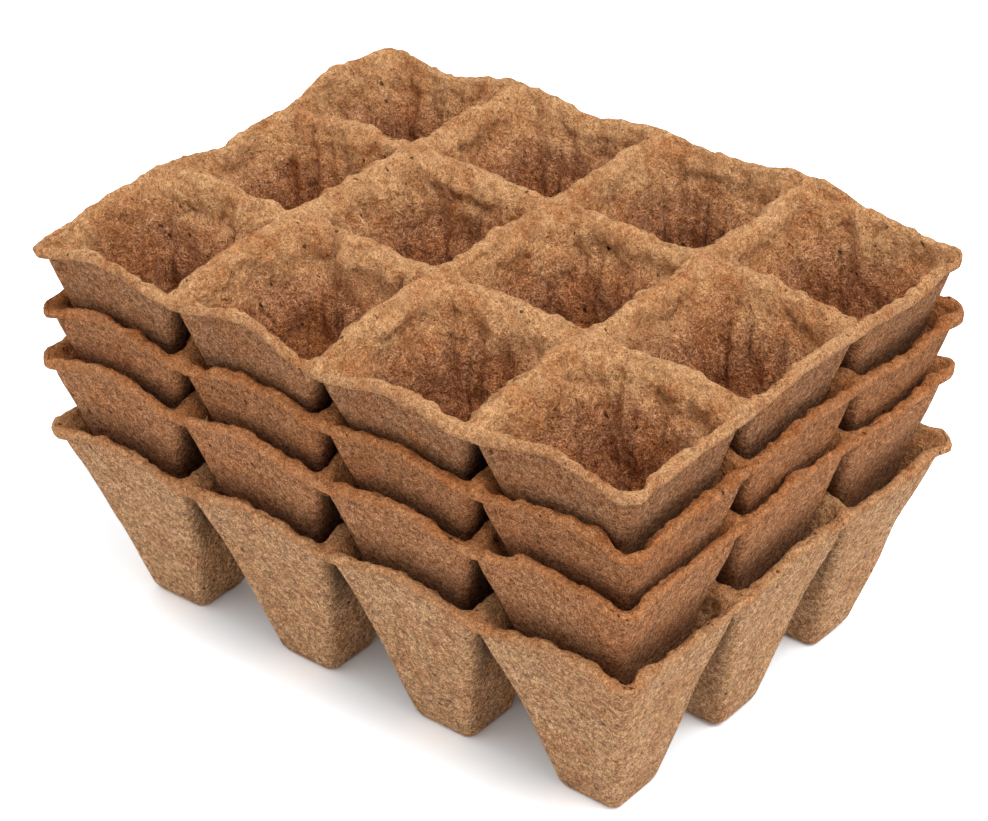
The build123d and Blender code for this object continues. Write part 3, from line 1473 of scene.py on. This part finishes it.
    def flecked(self, colour: bpy.types.NodeSocket) -> bpy.types.NodeSocket:
        """Strew bark specks, the small ones most on the outer face, and paint shade into creases in the same
        dark colour.

        Args:
            colour: The felt's colour.

        Returns:
            The colour's socket.
        """
        large = self.math("MULTIPLY", self.specks(LARGE_SPECKS), 0.8)
        strength = self.ramp(self.outside, 0.0, 1.0, 0.35, 0.75)
        small = self.math("MULTIPLY", self.specks(SMALL_SPECKS), strength)
        ragged = self.ramp(self.noise(self.where, 1.6, 2.0, 0.7), 0.3, 0.7, -0.3, 0.3)
        # Painted shade in the creases, with ragged edges
        pressed = self.ramp(self.math("ADD", self.crease, ragged), 0.3, 0.95, 0.0, 0.8)
        marked = self.math("MAXIMUM", self.math("MAXIMUM", large, small), pressed)
        return self.blend(marked, colour, linear(*self.finish.bark))

    def specks(self, kind: Specks) -> bpy.types.NodeSocket:
        """Strew specks of uneven size.

        Args:
            kind: The specks.

        Returns:
            Where a speck lies, from zero to one.
        """
        drawn = self.drawn_out(self.where, kind.turn, kind.draw)
        spots = self.add("TexVoronoi", Vector=drawn, Scale=1 / (kind.spacing * MM), Randomness=1.0)
        size = self.ramp(self.noise(self.where, kind.spacing * 0.7, 1.0), 0.4, 0.75, 0.0, kind.largest)
        return self.ramp(self.math("SUBTRACT", size, spots.outputs["Distance"]), -0.03, 0.03)


@dataclass(frozen=True)
class FibreFinish:
    """Single loose fibres, from dark bark to pale straw."""

    name: str
    dark: tuple[int, int, int] = (70, 40, 24)
    pale: tuple[int, int, int] = (214, 170, 120)
    roughness: float = 0.85

    def material(self) -> bpy.types.Material:
        """Make the finish.

        Returns:
            The material.
        """
        weave = Weave(self.name)
        where = weave.add("TexCoord").outputs["Object"]
        along = weave.ramp(weave.noise(where, 1.2, 2.0), 0.3, 0.7, -0.2, 0.2)
        tone = weave.math("ADD", weave.math("POWER", weave.mark("zone").outputs["Fac"], 0.7), along)
        colour = weave.blend(weave.ramp(tone, 0.1, 0.9), linear(*self.dark), linear(*self.pale))
        weave.shown(weave.add("BsdfPrincipled", Base_Color=colour, Roughness=self.roughness))
        return weave.material


@dataclass
class Studio:
    """A plain pale floor, a white surround and soft light, in metres and degrees."""

    floor_half: float = 3.0
    floor_drop: float = 0.0002
    floor_grey: float = 0.82
    seen_floor: tuple[float, float, float] = (1.42, 1.5, 1.56)
    surround: float = 0.92
    key_strength: float = 1.45
    key_spread: float = 26.0
    key_azimuth: float = 78.0
    key_elevation: float = 60.0

    def build_floor(self) -> bpy.types.Object:
        """Lay the floor just under the feet.

        Returns:
            The floor.
        """
        half = self.floor_half
        mesh = bpy.data.meshes.new("studio_floor")
        corners = ((-half, -half), (half, -half), (half, half), (-half, half))
        mesh.from_pydata([(x, y, -self.floor_drop) for x, y in corners], [], [(0, 1, 2, 3)])
        floor = bpy.data.objects.new("studio_floor", mesh)
        bpy.context.scene.collection.objects.link(floor)
        mesh.materials.append(self.floor_finish())
        return floor

    def floor_finish(self) -> bpy.types.Material:
        """Make a pale floor that is white to the camera but keeps the object's shadow."""
        weave = Weave("studio_floor_white")
        seen = self.seen(weave, weave.add("LightPath"))
        colour = weave.blend(seen, (self.floor_grey,) * 3 + (1.0,), (*self.seen_floor, 1.0))
        weave.shown(weave.add("BsdfDiffuse", Color=colour))
        return weave.material

    def seen(self, weave: Weave, path: bpy.types.Node) -> bpy.types.NodeSocket:
        """Tell whether the camera sees a surface, directly or in a gloss or through something clear.

        Args:
            weave: The nodes to add to.
            path: The light path node.

        Returns:
            One where it is seen, zero for light that only falls on the object.
        """
        mirrored = weave.math("MAXIMUM", path.outputs["Is Camera Ray"], path.outputs["Is Glossy Ray"])
        return weave.math("MAXIMUM", mirrored, path.outputs["Is Transmission Ray"])

    def light(self) -> None:
        """Set the white surround and the soft key light, from above and the right of the photo's view."""
        world = bpy.data.worlds.new("studio_surround")
        bpy.context.scene.world = world
        world.use_nodes = True
        weave = Weave.on(world.node_tree)
        strength = weave.ramp(self.seen(weave, weave.add("LightPath")), 0.0, 1.0, self.surround, 1.0)
        weave.shown(weave.add("Background", Strength=strength, Color=(1.0, 1.0, 1.0, 1.0)), "OutputWorld")
        lamp = bpy.data.lights.new("studio_key", "SUN")
        lamp.energy = self.key_strength
        lamp.angle = math.radians(self.key_spread)
        key = bpy.data.objects.new("studio_key", lamp)
        bpy.context.scene.collection.objects.link(key)
        key.location = toward(self.key_azimuth, self.key_elevation)
        key.rotation_mode = "QUATERNION"
        key.rotation_quaternion = key.location.to_track_quat("Z", "Y")


@dataclass
class PhotoCamera:
    """The photograph's camera, in degrees, metres and pixels."""

    azimuth: float = 38.45
    elevation: float = 32.1
    distance: float = 1.031
    target: tuple[float, float, float] = (-0.017, 0.019, 0.055)
    focal_pixels: float = 3300.0

    def build(self) -> bpy.types.Object:
        """Place the camera and make it the scene's own.

        Returns:
            The camera.
        """
        back = toward(self.azimuth, self.elevation)
        data = bpy.data.cameras.new("photo_camera")
        data.sensor_width = SENSOR_WIDTH
        data.lens = self.focal_pixels / PHOTO_WIDTH * SENSOR_WIDTH
        camera = bpy.data.objects.new("photo_camera", data)
        bpy.context.scene.collection.objects.link(camera)
        camera.location = Vector(self.target) + back * self.distance
        camera.rotation_mode = "QUATERNION"
        camera.rotation_quaternion = (-back).to_track_quat("-Z", "Y")
        bpy.context.scene.camera = camera
        return camera


def dress_tray(shell: TrayShell, finish: PeatFinish, loose: FibreFinish) -> None:
    """Build one tray with its fibres, dress it and set it on its body.

    Args:
        shell: The tray.
        finish: Finish of the moulding.
        loose: Finish of the loose fibres.
    """
    nest = shell.nest
    moulding = shell.build()
    moulding.data.materials.append(finish.material())
    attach(moulding, nest.body)
    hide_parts(nest.node)
    log.info("%s: moulding of %d points", nest.node, len(moulding.data.vertices))
    fibres = LooseFibres(shell).build(moulding)
    fibres.data.materials.append(loose.material())
    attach(fibres, nest.body)
    log.info("%s: loose fibres of %d points", nest.node, len(fibres.data.vertices))


def main() -> None:
    """Build the studio and the four trays, from the lowest up."""
    logging.basicConfig(level=logging.INFO, format="%(name)s: %(message)s")
    scene = bpy.context.scene
    scene.view_settings.view_transform = "Standard"
    studio = Studio()
    studio.build_floor()
    studio.light()
    PhotoCamera().build()
    pot = PotForm()
    covered = PotForm(arch_corner=5.0)
    rims = {
        Nest.LOWEST: RimForm(pot, near=(5.5, 1.5, 6.0, 1.5, 5.5, 1.5, 6.0, 1.5, 3.5)),
        Nest.SECOND: RimForm(pot, near=(6.5, 2.0, 6.5, 2.5, 7.0, 2.5, 6.5, 2.0, 4.5)),
        Nest.THIRD: RimForm(pot, near=(7.2, 2.6, 7.5, 2.6, 6.2, 3.0, 6.5, 2.5, 5.0)),
        Nest.TOP: RimForm(
            pot, near=(6.1, 0.8, 5.0, -0.3, 7.8, 3.2, 6.6, 1.0, 4.5),
            far=(3.5, 6.0, -0.8, 2.0, -1.1, -0.3, -4.0, 1.0, 4.2),
            left=(2.6, 1.3, 6.6, 4.5, 0.0), right=(5.0, 4.6, 3.0, 4.4, 6.5))}
    # Painted shade: each tray's copy of the finish is darker where its rims and walls sit in the stack's
    # shade, the ridges lower down and the outsides of the upper three trays
    finishes = {
        Nest.LOWEST: PeatFinish("tray_1_peat", ridge=(222, 164, 112)),
        Nest.SECOND: PeatFinish(
            "tray_2_peat", ridge=(206, 138, 86), outside=(196, 135, 91), grey=(174, 125, 91)),
        Nest.THIRD: PeatFinish(
            "tray_3_peat", ridge=(200, 130, 78), outside=(182, 122, 80), grey=(160, 114, 80)),
        Nest.TOP: PeatFinish("tray_4_peat", outside=(176, 123, 84), grey=(160, 117, 86))}
    for nest in Nest:
        form = pot if nest is Nest.TOP else covered
        shell = TrayShell(nest, form, rims[nest], FIRST_SEED + nest.value)
        dress_tray(shell, finishes[nest], FibreFinish(nest.node + "_fibre_ends"))
    log.info("size written")


if __name__ == "__main__":
    main()
